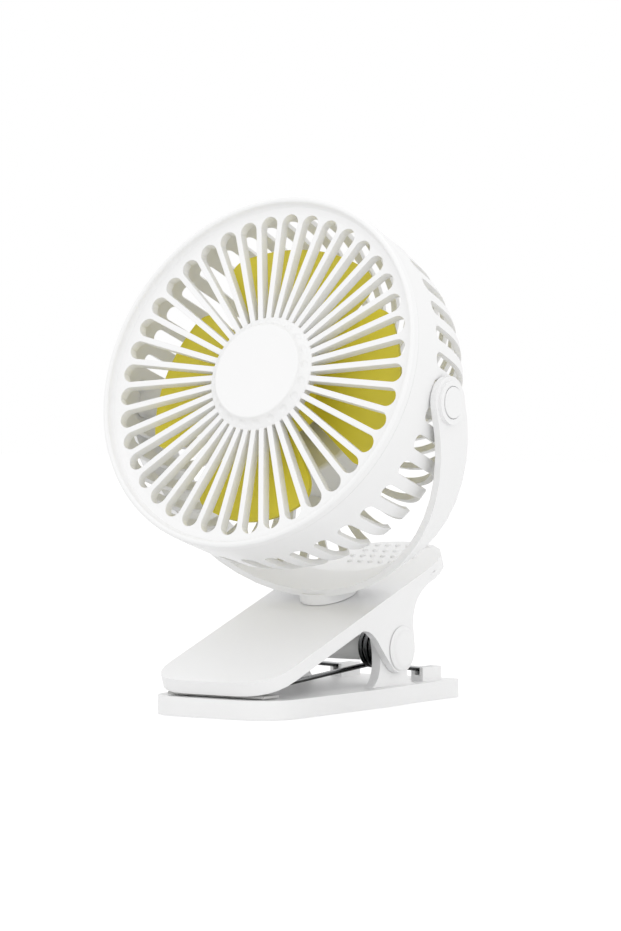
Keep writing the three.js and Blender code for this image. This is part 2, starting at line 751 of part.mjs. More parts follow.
// Cup in the middle of the back that holds the motor and the electrics, with the ribs' flange
function pod() {
  const bore = podRadius - podWall;
  return turned([
    [0, -podFront], [podRadius - podWall, -podFront], [podRadius, -podFront - podWall],
    [podRadius, -housingDepth + shellWall], [slotEndRadius, -housingDepth + shellWall],
    [slotEndRadius, -housingDepth], [bore, -housingDepth], [bore, -podFront - podWall],
    [0, -podFront - podWall]], 36);
}

const washerOuterX = yokeInnerX - 0.7;
const washerInnerX = washerOuterX - frictionWasherThickness;

function pivotBoss() {
  const outer = yokeInnerX - pivotBossGap;
  return barX(pivotBossRadius, headRadius - 15, outer, -headAxisRise, -headFrontReach, 20);
}

function pivotBossBores() {
  const face = yokeInnerX - pivotBossGap;
  const washer = barX(
    frictionWasherRadius + seat, washerInnerX - seat, face + 1, -headAxisRise, -headFrontReach, 20);
  const inner = headRadius - 13;
  return washer.add(barX(pivotScrewShank + seat, inner, face + 1, -headAxisRise, -headFrontReach, 12));
}

function coverPosts() {
  let posts = null;
  for (let i = 0; i < 3; i += 1) {
    const angle = Math.PI / 2 + i * 2 * Math.PI / 3;
    const x = coverScrewRing * Math.cos(angle);
    const y = coverScrewRing * Math.sin(angle);
    const end = -housingDepth + coverThickness + seat;
    const post = barZ(coverPostRadius, end, -podFront - podWall / 2, 12, x, y)
      .subtract(barZ(coverScrewRadius + seat, end - 1, end + 9, 10, x, y));
    posts = posts ? posts.add(post) : post;
  }
  return posts;
}

function rearHousing() {
  const rib = housingRib();
  let shell = housingBand().add(pod());
  for (let i = 0; i < slotCount; i += 1) {
    shell = shell.add(rib.rotate([0, 0, i * ribPitch / rad]));
  }
  return shell.add(both(pivotBoss())).subtract(both(pivotBossBores())).add(coverPosts());
}

function rearCover() {
  const radius = podRadius - podWall - seat;
  let cover = barZ(radius, -housingDepth, -housingDepth + coverThickness, 36)
    .subtract(barZ(buttonRadius + seat, -housingDepth - 1, -podFront, 28, 0, buttonY))
    .subtract(barZ(lensRadius + seat, -housingDepth - 1, -podFront, 12, lensX, buttonY))
    .subtract(box(socketWidth + 2 * seat, socketHeight + 2 * seat, 10, 0, socketY(), -housingDepth));
  for (let i = 0; i < 3; i += 1) {
    const angle = Math.PI / 2 + i * 2 * Math.PI / 3;
    const x = coverScrewRing * Math.cos(angle);
    const y = coverScrewRing * Math.sin(angle);
    cover = cover
      .subtract(barZ(coverScrewRadius + seat, -housingDepth - 1, -podFront, 12, x, y))
      .subtract(barZ(coverScrewHead + seat, -housingDepth - 1, -housingDepth + 1.3, 16, x, y));
  }
  return cover;
}

function coverScrew(i) {
  const angle = Math.PI / 2 + i * 2 * Math.PI / 3;
  const x = coverScrewRing * Math.cos(angle);
  const y = coverScrewRing * Math.sin(angle);
  const headTop = -housingDepth + 1;
  return barZ(coverScrewHead, headTop - 1, headTop, 16, x, y)
    .add(barZ(coverScrewRadius, headTop - 0.5, headTop + 8, 12, x, y));
}

function motorCan() {
  const rear = -podFront + seat;
  const front = rear + motorLength;
  return barZ(motorRadius, rear, front, 28)
    .subtract(barZ(shaftRadius + seat, front - 4, front + 1, 16));
}

function motorShaft() {
  const front = -podFront + seat + motorLength;
  return barZ(shaftRadius, front - 3.5, -impellerHubFront - impellerHubWall - seat, 16);
}

function blade(index) {
  const radialSteps = 5;
  const spanSteps = 6;
  const geometry = new THREE.BoxGeometry(1, 1, 1, radialSteps, spanSteps, 1);
  const position = geometry.attributes.position;
  const root = impellerHubRadius - 1;
  for (let i = 0; i < position.count; i += 1) {
    const u = position.getX(i) + 0.5;
    const v = position.getY(i) + 0.5;
    const radius = root + (bladeTip - root) * u;
    const rounding = Math.max(0, (radius - (bladeTip - bladeCorner)) / bladeCorner);
    const trim = bladeCorner * (1 - Math.sqrt(1 - rounding ** 2)) / radius;
    const half = bladeSpan / 2 - trim;
    const angle = -1.5 * rad + (v - 0.5) * 2 * half + index * 2 * Math.PI / bladeCount;
    const share = 0.5 + (v - 0.5) * 2 * half / bladeSpan;
    const depth = bladeRearDepth + (bladeFrontDepth - bladeRearDepth) * share;
    const z = -depth + position.getZ(i) * bladeThickness;
    position.setXYZ(i, radius * Math.cos(angle), radius * Math.sin(angle), z);
  }
  return solid(geometry);
}

function impeller() {
  const front = -impellerHubFront;
  const inner = impellerHubRadius - impellerHubWall;
  const shaftEnd = front - impellerHubWall - shaftBossLength;
  let body = turned([
    [0, front], [impellerHubRadius - 1, front], [impellerHubRadius, front - 1],
    [impellerHubRadius, front - impellerHubDepth], [inner, front - impellerHubDepth],
    [inner, front - impellerHubWall], [shaftBossRadius, front - impellerHubWall],
    [shaftBossRadius, shaftEnd], [shaftRadius + seat, shaftEnd],
    [shaftRadius + seat, front - impellerHubWall], [0, front - impellerHubWall]], 24);
  for (let i = 0; i < bladeCount; i += 1) {
    body = body.add(blade(i));
  }
  return body;
}

function batteryCell() {
  const middle = -podFront - podWall - seat - cellRadius;
  return barX(cellRadius, -cellLength / 2, cellLength / 2, cellY, middle, 24);
}

function circuitBoard() {
  return box(boardWidth, boardHeight, boardThickness, 0, boardY, -boardDepth);
}

const boardBack = -boardDepth - boardThickness / 2;

function switchBody() {
  return box(switchSide, switchSide, switchHeight, 0, buttonY, boardBack - seat - switchHeight / 2);
}

function socketY() {
  return boardY - boardHeight / 2 + socketHeight / 2 + 0.5;
}

function usbSocket() {
  const cavity = box(socketWidth - 1.2, socketHeight - 1.2, 5, 0, socketY(), -housingDepth + 2);
  const length = boardBack - seat + housingDepth - socketInset;
  return box(socketWidth, socketHeight, length, 0, socketY(), boardBack - seat - length / 2).subtract(cavity);
}

function powerButton() {
  const stemEnd = boardBack - seat - switchHeight - buttonTravel - seat;
  const flangeTop = -housingDepth + coverThickness + seat + buttonFlange;
  return barZ(buttonRadius, -housingDepth - buttonRise, flangeTop, 28, 0, buttonY)
    .add(barZ(buttonRadius + 1.2, flangeTop - buttonFlange, flangeTop, 28, 0, buttonY))
    .add(barZ(1.5, flangeTop - 0.5, stemEnd, 12, 0, buttonY));
}

function indicatorLens() {
  return barZ(lensRadius, -housingDepth, boardBack - seat, 12, lensX, buttonY);
}

function pivotScrew() {
  const headInner = yokeInnerX + 1.4 + seat;
  return barX(pivotScrewHead, headInner, headInner + pivotScrewHeadHeight, -headAxisRise, -headFrontReach, 24)
    .add(barX(pivotScrewShank, headRadius - 12.5, headInner + 0.5, -headAxisRise, -headFrontReach, 16));
}

function frictionWasher() {
  return barX(frictionWasherRadius, washerInnerX, washerOuterX, -headAxisRise, -headFrontReach, 24)
    .subtract(barX(pivotScrewShank + seat, washerInnerX - 1, yokeInnerX, -headAxisRise, -headFrontReach, 20));
}

// ---- Assembly ----

const fan = new THREE.Group();
fan.add(
  named('lower_jaw', lowerJaw(), whitePlastic),
  named('foot_pad', footPad(), greyRubber),
  named('lower_grip_pad', lowerGripPad(), greyRubber),
  named('hinge_pin', hingePin(), steel),
  named('spring_sleeve', springSleeve(), whitePlastic),
  named('torsion_spring', torsionSpring(), chromeWire),
  named('upper_jaw', upperJaw(), whitePlastic),
  named('upper_grip_pad', upperGripPad(), greyRubber),
  named('hinge_cap_right', hingeCap(), whitePlastic),
  named('hinge_cap_left', mirrored(hingeCap()), whitePlastic));

const yokeFrame = new THREE.Group();
yokeFrame.position.set(0, pivotY, pivotZ);
yokeFrame.rotation.x = jawSlope;
yokeFrame.add(
  named('yoke', yoke(), whitePlastic),
  named('swivel_washer', swivelWasher(), steel),
  named('swivel_screw', swivelScrew(), steel),
  named('pivot_cap_right', pivotCap(), whitePlastic),
  named('pivot_cap_left', mirrored(pivotCap()), whitePlastic));
fan.add(yokeFrame);

const tiltFrame = new THREE.Group();
tiltFrame.position.set(0, pivotY, pivotZ);
tiltFrame.rotation.x = Math.PI / 2 - headTilt;
const head = new THREE.Group();
head.position.set(0, headAxisRise, headFrontReach);
head.add(
  named('front_grille', frontGrille(), whitePlastic),
  named('rear_housing', rearHousing(), whitePlastic),
  named('rear_cover', rearCover(), whitePlastic),
  named('motor_can', motorCan(), steel),
  named('motor_shaft', motorShaft(), steel),
  named('impeller', impeller(), yellowPlastic),
  named('battery_cell', batteryCell(), blackPlastic),
  named('circuit_board', circuitBoard(), boardGreen),
  named('switch_body', switchBody(), blackPlastic),
  named('usb_socket', usbSocket(), steel),
  named('power_button', powerButton(), whitePlastic),
  named('indicator_lens', indicatorLens(), lensPlastic),
  named('pivot_screw_right', pivotScrew(), steel),
  named('pivot_screw_left', mirrored(pivotScrew()), steel),
  named('friction_washer_right', frictionWasher(), greyRubber),
  named('friction_washer_left', mirrored(frictionWasher()), greyRubber));
for (let i = 0; i < 3; i += 1) {
  head.add(named(`cover_screw_${i + 1}`, coverScrew(i), steel));
}
tiltFrame.add(head);
fan.add(tiltFrame);

export default fan;
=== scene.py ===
import bpy
import bmesh
import json
import math
from mathutils import Vector, Matrix


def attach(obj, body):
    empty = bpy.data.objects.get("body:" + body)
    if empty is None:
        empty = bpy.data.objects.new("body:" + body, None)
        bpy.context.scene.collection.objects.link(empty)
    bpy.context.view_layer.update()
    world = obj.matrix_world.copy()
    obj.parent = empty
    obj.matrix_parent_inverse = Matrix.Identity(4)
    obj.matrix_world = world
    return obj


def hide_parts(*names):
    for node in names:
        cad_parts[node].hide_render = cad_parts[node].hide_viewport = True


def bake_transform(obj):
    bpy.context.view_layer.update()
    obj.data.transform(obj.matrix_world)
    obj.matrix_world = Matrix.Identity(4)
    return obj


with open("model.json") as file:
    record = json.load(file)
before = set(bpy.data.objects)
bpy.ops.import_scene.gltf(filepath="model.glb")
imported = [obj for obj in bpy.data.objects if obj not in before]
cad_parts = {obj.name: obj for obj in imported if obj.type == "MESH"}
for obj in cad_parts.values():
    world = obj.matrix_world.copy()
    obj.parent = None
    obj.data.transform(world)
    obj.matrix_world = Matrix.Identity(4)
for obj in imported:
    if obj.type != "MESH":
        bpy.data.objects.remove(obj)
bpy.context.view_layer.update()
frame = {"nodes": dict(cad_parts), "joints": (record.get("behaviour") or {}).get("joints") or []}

mm = 0.001
joints = {joint["name"]: joint for joint in frame["joints"]}

# the fan head's own frame: x across, y up the face, z out of the grille, origin on the parting line
fanAxis = Vector(joints["fan_spin"]["axis"])
fanCentre = Vector(joints["fan_spin"]["pos_m"])
faceUp = fanAxis.cross(Vector((1, 0, 0)))
headMatrix = Matrix.Translation(fanCentre) @ Matrix(((1, 0, 0), faceUp, fanAxis)).transposed().to_4x4()
hingeCentre = Vector(joints["clip_hinge"]["pos_m"])


# ---------- camera, light and floor ----------

camera = {
    "place": (0.8490, -1.2352, 0.1293),
    "target": (0.0, 0.0010, 0.0963),
    "lens": 216.7, "sensor": 36, "near": 0.05, "far": 30,
}
studio = {
    "worldStrength": 1.0, "backdropStrength": 1.0, "aim": (0, 0, 0.1),
    "keyPlace": (-0.75, -0.95, 1.05), "keySize": 0.9, "keyPower": 1.6,
    "fillPlace": (1.2, -0.6, 0.3), "fillSize": 1.0, "fillPower": 2.2,
    "topPlace": (0.0, 0.25, 1.2), "topSize": 0.8, "topPower": 1.0,
    "floorSize": 8.0, "floorDrop": 0.0002, "floorGlow": 0.79,
    "floorSeen": (0.30, 0.30, 0.30, 1), "floorBounce": (0.85, 0.85, 0.85, 1),
}


def makeCamera():
    data = bpy.data.cameras.new("photoCamera")
    data.sensor_width = camera["sensor"]
    data.sensor_fit = "HORIZONTAL"
    data.lens = camera["lens"]
    data.clip_start = camera["near"]
    data.clip_end = camera["far"]
    item = bpy.data.objects.new("photoCamera", data)
    bpy.context.scene.collection.objects.link(item)
    item.location = camera["place"]
    look = Vector(camera["target"]) - Vector(camera["place"])
    item.rotation_euler = look.to_track_quat("-Z", "Y").to_euler()
    bpy.context.scene.camera = item


def makeLamp(name, place, size, power):
    data = bpy.data.lights.new(name, "AREA")
    data.shape = "DISK"
    data.size = size
    data.energy = power
    lamp = bpy.data.objects.new(name, data)
    bpy.context.scene.collection.objects.link(lamp)
    lamp.location = place
    lamp.rotation_euler = (Vector(studio["aim"]) - Vector(place)).to_track_quat("-Z", "Y").to_euler()


def seenDirectly(nodes, links):
    # 1 for rays that end in the picture: from the camera, by gloss or through glass
    path = nodes.new("ShaderNodeLightPath")
    first = nodes.new("ShaderNodeMath")
    first.operation = "MAXIMUM"
    links.new(path.outputs["Is Camera Ray"], first.inputs[0])
    links.new(path.outputs["Is Glossy Ray"], first.inputs[1])
    both = nodes.new("ShaderNodeMath")
    both.operation = "MAXIMUM"
    links.new(first.outputs[0], both.inputs[0])
    links.new(path.outputs["Is Transmission Ray"], both.inputs[1])
    return both.outputs[0]


def makeWorld():
    world = bpy.data.worlds.new("studio")
    bpy.context.scene.world = world
    world.use_nodes = True
    nodes, links = world.node_tree.nodes, world.node_tree.links
    nodes.clear()
    soft = nodes.new("ShaderNodeBackground")
    soft.inputs["Color"].default_value = (1, 1, 1, 1)
    soft.inputs["Strength"].default_value = studio["worldStrength"]
    white = nodes.new("ShaderNodeBackground")
    white.inputs["Color"].default_value = (1, 1, 1, 1)
    white.inputs["Strength"].default_value = studio["backdropStrength"]
    mix = nodes.new("ShaderNodeMixShader")
    out = nodes.new("ShaderNodeOutputWorld")
    links.new(seenDirectly(nodes, links), mix.inputs["Fac"])
    links.new(soft.outputs[0], mix.inputs[1])
    links.new(white.outputs[0], mix.inputs[2])
    links.new(mix.outputs[0], out.inputs["Surface"])


def makeFloor():
    bm = bmesh.new()
    bmesh.ops.create_grid(bm, x_segments=1, y_segments=1, size=studio["floorSize"] / 2)
    bmesh.ops.translate(bm, vec=(0, 0, -studio["floorDrop"]), verts=bm.verts)
    mesh = bpy.data.meshes.new("floor")
    bm.to_mesh(mesh)
    bm.free()
    floor = bpy.data.objects.new("floor", mesh)
    bpy.context.scene.collection.objects.link(floor)
    material = bpy.data.materials.new("floorPaper")
    material.use_nodes = True
    nodes, links = material.node_tree.nodes, material.node_tree.links
    nodes.clear()
    paper = nodes.new("ShaderNodeBsdfDiffuse")
    tone = nodes.new("ShaderNodeMix")
    tone.data_type = "RGBA"
    tone.inputs["A"].default_value = studio["floorBounce"]
    tone.inputs["B"].default_value = studio["floorSeen"]
    links.new(seenDirectly(nodes, links), tone.inputs["Factor"])
    links.new(tone.outputs["Result"], paper.inputs["Color"])
    glow = nodes.new("ShaderNodeEmission")
    strength = nodes.new("ShaderNodeMath")
    strength.operation = "MULTIPLY"
    strength.inputs[1].default_value = studio["floorGlow"]
    links.new(seenDirectly(nodes, links), strength.inputs[0])
    links.new(strength.outputs[0], glow.inputs["Strength"])
    add = nodes.new("ShaderNodeAddShader")
    out = nodes.new("ShaderNodeOutputMaterial")
    links.new(paper.outputs[0], add.inputs[0])
    links.new(glow.outputs[0], add.inputs[1])
    links.new(add.outputs[0], out.inputs["Surface"])
    mesh.materials.append(material)


makeCamera()
makeLamp("keyLamp", studio["keyPlace"], studio["keySize"], studio["keyPower"])
makeLamp("fillLamp", studio["fillPlace"], studio["fillSize"], studio["fillPower"])
makeLamp("topLamp", studio["topPlace"], studio["topSize"], studio["topPower"])
makeWorld()
makeFloor()
print("camera, lamps and floor made")


# ---------- materials ----------

plastic = {
    "cloudScale": 22, "cloudDetail": 3, "glossDown": 0.04, "glossUp": 0.06,
    "grainScale": 2600, "grainDetail": 2, "grainDepth": 0.0001, "coatRoughness": 0.2,
}
metal = {"lineDetail": 4, "lineShade": 0.8, "glossDown": 0.05, "glossUp": 0.1, "leastRoughness": 0.05}
# normal heights over which the spring's painted reflection fades from the painted dark underside to full colour
paintedReflection = {"fromNormal": -0.1, "toNormal": 0.75}


def mouldedPlastic(name, colour, roughness, shade=0.97, grain=0.02, coat=0.0):
    # satin moulded plastic: a faint cloud in the colour, uneven gloss and a fine grain
    material = bpy.data.materials.new(name)
    material.use_nodes = True
    nodes, links = material.node_tree.nodes, material.node_tree.links
    shader = nodes["Principled BSDF"]
    place = nodes.new("ShaderNodeTexCoord")
    cloud = nodes.new("ShaderNodeTexNoise")
    cloud.inputs["Scale"].default_value = plastic["cloudScale"]
    cloud.inputs["Detail"].default_value = plastic["cloudDetail"]
    links.new(place.outputs["Object"], cloud.inputs["Vector"])
    tint = nodes.new("ShaderNodeMix")
    tint.data_type = "RGBA"
    tint.inputs["A"].default_value = (*colour, 1)
    tint.inputs["B"].default_value = (*[c * shade for c in colour], 1)
    links.new(cloud.outputs["Fac"], tint.inputs["Factor"])
    links.new(tint.outputs["Result"], shader.inputs["Base Color"])
    gloss = nodes.new("ShaderNodeMapRange")
    gloss.inputs["To Min"].default_value = roughness - plastic["glossDown"]
    gloss.inputs["To Max"].default_value = roughness + plastic["glossUp"]
    links.new(cloud.outputs["Fac"], gloss.inputs["Value"])
    links.new(gloss.outputs["Result"], shader.inputs["Roughness"])
    texture = nodes.new("ShaderNodeTexNoise")
    texture.inputs["Scale"].default_value = plastic["grainScale"]
    texture.inputs["Detail"].default_value = plastic["grainDetail"]
    links.new(place.outputs["Object"], texture.inputs["Vector"])
    bump = nodes.new("ShaderNodeBump")
    bump.inputs["Strength"].default_value = grain
    bump.inputs["Distance"].default_value = plastic["grainDepth"]
    links.new(texture.outputs["Fac"], bump.inputs["Height"])
    links.new(bump.outputs["Normal"], shader.inputs["Normal"])
    shader.inputs["Coat Weight"].default_value = coat
    shader.inputs["Coat Roughness"].default_value = plastic["coatRoughness"]
    return material


def drawnSteel(name, colour, roughness, scale):
    # metal with fine drawing lines round it
    material = bpy.data.materials.new(name)
    material.use_nodes = True
    nodes, links = material.node_tree.nodes, material.node_tree.links
    shader = nodes["Principled BSDF"]
    shader.inputs["Metallic"].default_value = 1.0
    place = nodes.new("ShaderNodeTexCoord")
    lines = nodes.new("ShaderNodeTexNoise")
    lines.inputs["Scale"].default_value = scale
    lines.inputs["Detail"].default_value = metal["lineDetail"]
    links.new(place.outputs["Object"], lines.inputs["Vector"])
    tint = nodes.new("ShaderNodeMix")
    tint.data_type = "RGBA"
    tint.inputs["A"].default_value = (*colour, 1)
    tint.inputs["B"].default_value = (*[c * metal["lineShade"] for c in colour], 1)
    links.new(lines.outputs["Fac"], tint.inputs["Factor"])
    links.new(tint.outputs["Result"], shader.inputs["Base Color"])
    gloss = nodes.new("ShaderNodeMapRange")
    gloss.inputs["To Min"].default_value = max(metal["leastRoughness"], roughness - metal["glossDown"])
    gloss.inputs["To Max"].default_value = roughness + metal["glossUp"]
    links.new(lines.outputs["Fac"], gloss.inputs["Value"])
    links.new(gloss.outputs["Result"], shader.inputs["Roughness"])
    return material


def paintReflectionBelow(material, least):
    # painted reflection: the base colour is painted dark on the downward-facing side and kept at full colour on
    # top, standing in for the dark gap that plated wire mirrors
    nodes, links = material.node_tree.nodes, material.node_tree.links
    shader = nodes["Principled BSDF"]
    facing = nodes.new("ShaderNodeNewGeometry")
    split = nodes.new("ShaderNodeSeparateXYZ")
    links.new(facing.outputs["Normal"], split.inputs[0])
    level = nodes.new("ShaderNodeMapRange")
    level.interpolation_type = "SMOOTHSTEP"
    level.inputs["From Min"].default_value = paintedReflection["fromNormal"]
    level.inputs["From Max"].default_value = paintedReflection["toNormal"]
    level.inputs["To Min"].default_value = least
    level.inputs["To Max"].default_value = 1.0
    links.new(split.outputs["Z"], level.inputs["Value"])
    shadeMix = nodes.new("ShaderNodeMix")
    shadeMix.data_type = "RGBA"
    shadeMix.blend_type = "MULTIPLY"
    shadeMix.inputs["Factor"].default_value = 1.0
    links.new(shader.inputs["Base Color"].links[0].from_socket, shadeMix.inputs["A"])
    links.new(level.outputs["Result"], shadeMix.inputs["B"])
    links.new(shadeMix.outputs["Result"], shader.inputs["Base Color"])


shellWhite = mouldedPlastic("shellWhite", (0.86, 0.86, 0.86), 0.38, grain=0.03, coat=0.15)
grilleWhite = mouldedPlastic("grilleWhite", (0.87, 0.87, 0.87), 0.42, grain=0.03)
bladeYellow = mouldedPlastic("bladeYellow", (0.84, 0.73, 0.05), 0.4, shade=0.93, grain=0.04)
hiddenWhite = mouldedPlastic("hiddenWhite", (0.78, 0.78, 0.77), 0.5)
rubberGrey = mouldedPlastic("rubberGrey", (0.6, 0.6, 0.59), 0.85, shade=0.9, grain=0.25)
boardGreen = mouldedPlastic("boardGreen", (0.03, 0.12, 0.05), 0.45, shade=0.8)
blackPlastic = mouldedPlastic("blackPlastic", (0.02, 0.02, 0.022), 0.5, shade=0.8, grain=0.1)
lensClear = mouldedPlastic("lensClear", (0.7, 0.78, 0.8), 0.15)
springChrome = drawnSteel("springChrome", (0.62, 0.63, 0.64), 0.16, 900)
# painted reflection: the spring wire's base colour is painted dark underneath
paintReflectionBelow(springChrome, 0.05)
plainSteel = drawnSteel("plainSteel", (0.45, 0.45, 0.46), 0.32, 500)


# ---------- helpers ----------

nearly = {
    "merge": 1e-6, "seam": 2e-6, "flatDegrees": 0.6, "cornerDegrees": 40, "topDot": 0.99, "sideDot": 0.05,
    "rimSegments": 6,
}


def addObject(name, bm, material):
    mesh = bpy.data.meshes.new(name)
    bm.to_mesh(mesh)
    bm.free()
    item = bpy.data.objects.new(name, mesh)
    bpy.context.scene.collection.objects.link(item)
    mesh.materials.append(material)
    return item


def bakeModifiers(item):
    # the shaped mesh takes the place of the plain one
    bpy.context.view_layer.update()
    shaped = item.evaluated_get(bpy.context.evaluated_depsgraph_get())
    mesh = bpy.data.meshes.new_from_object(shaped)
    item.modifiers.clear()
    item.data = mesh


def smoothShade(item, degrees=35):
    item.data.shade_smooth()
    item.data.set_sharp_from_angle(angle=math.radians(degrees))
    weighted = item.modifiers.new("evenNormals", "WEIGHTED_NORMAL")
    weighted.keep_sharp = True


def roundEdges(item, width, segments=3, degrees=50):
    bevel = item.modifiers.new("roundEdges", "BEVEL")
    bevel.width = width
    bevel.segments = segments
    bevel.limit_method = "ANGLE"
    bevel.angle_limit = math.radians(degrees)
    bevel.use_clamp_overlap = True
    bakeModifiers(item)


def place(item, body, slotName, *replaced):
    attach(item, body)
    if replaced:
        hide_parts(*replaced)
    return item


def turned(bm, points, steps):
    # closed outline of (radius, height) points in mm, spun about the z axis
    verts = [bm.verts.new((radius * mm, 0, height * mm)) for radius, height in points]
    edges = [bm.edges.new((a, b)) for a, b in zip(verts, verts[1:])]
    if points[0][0] > 0 or points[-1][0] > 0:
        edges.append(bm.edges.new((verts[-1], verts[0])))
    bmesh.ops.spin(bm, geom=verts + edges, cent=(0, 0, 0), axis=(0, 0, 1), steps=steps,
                   angle=2 * math.pi, use_merge=True)


def closeUp(bm):
    bmesh.ops.remove_doubles(bm, verts=bm.verts, dist=nearly["merge"])
    bmesh.ops.recalc_face_normals(bm, faces=bm.faces)


def arcPoints(centre, radius, start, end, steps):
    # points of a round corner, in degrees
    angles = [math.radians(start + (end - start) * i / steps) for i in range(steps + 1)]
    return [(centre[0] + radius * math.cos(a), centre[1] + radius * math.sin(a)) for a in angles]


def curveThrough(points, steps):
    # Catmull-Rom line through the points, each stretch cut into steps
    line = []
    ends = [points[0]] + points + [points[-1]]
    for i in range(1, len(ends) - 2):
        a, b, c, d = (Vector(p) for p in ends[i - 1:i + 3])
        for k in range(steps):
            t = k / steps
            line.append(0.5 * (2 * b + (c - a) * t + (2 * a - 5 * b + 4 * c - d) * t * t
                               + (3 * b - 3 * c + d - a) * t ** 3))
    line.append(Vector(points[-1]))
    return line


def onRim(edge, normal):
    # between a plate's top, which faces the normal, and its upright side
    if len(edge.link_faces) != 2:
        return False
    facing = sorted(face.normal.dot(normal) for face in edge.link_faces)
    return facing[1] > nearly["topDot"] and abs(facing[0]) < nearly["sideDot"]


def cadCopy(node, material, body, slotName, edge=0.5, segments=3, shortest=1.3, rim=None):
    # the CAD piece's own shape with its long edges rounded
    bm = bmesh.new()
    bm.from_mesh(frame["nodes"][node].data)
    bmesh.ops.remove_doubles(bm, verts=bm.verts, dist=nearly["seam"])
    flat = math.radians(nearly["flatDegrees"])
    bmesh.ops.dissolve_limit(bm, angle_limit=flat, verts=bm.verts, edges=bm.edges)
    if rim:
        soft = [e for e in bm.edges if onRim(e, rim["normal"])]
        bmesh.ops.bevel(bm, geom=soft, offset=rim["width"] * mm, offset_type="OFFSET",
                        segments=nearly["rimSegments"], profile=0.5, affect="EDGES", material=-1,
                        clamp_overlap=True)
    corners = [e for e in bm.edges if len(e.link_faces) == 2
               and e.calc_face_angle(0) > math.radians(nearly["cornerDegrees"])
               and e.calc_length() > shortest * mm]
    bmesh.ops.bevel(bm, geom=corners, offset=edge * mm, offset_type="OFFSET", segments=segments,
                    profile=0.5, affect="EDGES", material=-1, clamp_overlap=True)
    item = addObject(node + "_fine", bm, material)
    smoothShade(item)
    return place(item, body, slotName, node)


# ---------- slotted sheets: the grille's face and the housing ----------

def ribSheet(bm, stations, slotHalf, surface, pitch, count, columns=6):
    # one rib and its share of the solid bands, then all of them round the axis
    grid = bmesh.ops.create_grid(bm, x_segments=columns, y_segments=len(stations) - 1, size=0.5)
    for vert in grid["verts"]:
        row = round((vert.co.y + 0.5) * (len(stations) - 1))
        length = stations[row]
        radius, height, swirl = surface(length)
        half = pitch / 2 - math.asin(min(1, slotHalf(length) / radius))
        angle = pitch / 2 + swirl + vert.co.x * 2 * half
        vert.co = Vector((radius * math.cos(angle), radius * math.sin(angle), height)) * mm
    ribs = grid["verts"]
    faces = list({face for vert in ribs for face in vert.link_faces})
    bmesh.ops.spin(bm, geom=faces, cent=(0, 0, 0), axis=(0, 0, 1), steps=count - 1,
                   angle=pitch * (count - 1), use_duplicate=True)
    bmesh.ops.remove_doubles(bm, verts=bm.verts, dist=nearly["seam"])
    bmesh.ops.recalc_face_normals(bm, faces=bm.faces)


grille = {
    "outer": 73.0, "slots": 40, "slotOuter": 66.8, "slotInner": 23.2, "wideHalf": 3.75, "narrowHalf": 0.75,
    "depth": 4.2, "faceInner": -0.2, "faceOuter": 0.6, "hubRadius": 19.7, "hubRise": 3.2,
    "edge": 0.8, "lipRise": 0.12, "lipPower": 1.5,
    "seamRows": [21.6, 22.4], "innerArc": (0, 35, 65), "ribRows": 14,
    "outerArc": (15, 30, 45, 58, 70, 80, 90), "bandRows": [68.2, 70.6],
    "discTop": (8, 15), "discSag": 0.02 / 19, "discCorner": (18.9, 0.95, 0.93),
    "discSide": [(20.6, 1.5), (22.0, 0.4), (23.3, -0.1), (23.6, -0.6), (22.8, -4.2), (19.0, -3.6),
                 (17.7, -1.6), (0, -1.6)],
    "discSteps": 160,
    "lipCentre": (71.7, 3.25), "lipRadius": 1.25,
    "skirt": [(68.3, -5.2), (69.9, -5.2), (70.3, -4.6), (70.3, 0.9), (72.95, 0.9)],
    "lipFoot": [(70.3, 2.4), (69.8, 1.6), (69.0, 0.6), (68.3, -0.4)],
    "lipSteps": 240,
}
notch = {"count": 20, "size": (0.0017, 0.0023, 0.0013), "place": (0.0217, 0, 0.0016), "lean": 45}


def grilleHalf(radius):
    wide, narrow = grille["wideHalf"], grille["narrowHalf"]
    outer, inner = grille["slotOuter"] - wide, grille["slotInner"] + narrow
    if radius <= inner:
        return math.sqrt(max(0, narrow ** 2 - (inner - radius) ** 2))
    if radius >= outer:
        return math.sqrt(max(0, wide ** 2 - (radius - outer) ** 2))
    return narrow + (wide - narrow) * (radius - inner) / (outer - inner)


def grilleSurface(radius):
    share = (radius - grille["slotInner"]) / (grille["slotOuter"] - grille["slotInner"])
    height = grille["faceInner"] + (grille["faceOuter"] - grille["faceInner"]) * share
    if radius > grille["slotOuter"]:
        height += grille["lipRise"] * (radius - grille["slotOuter"]) ** grille["lipPower"]
    return radius, height, 0


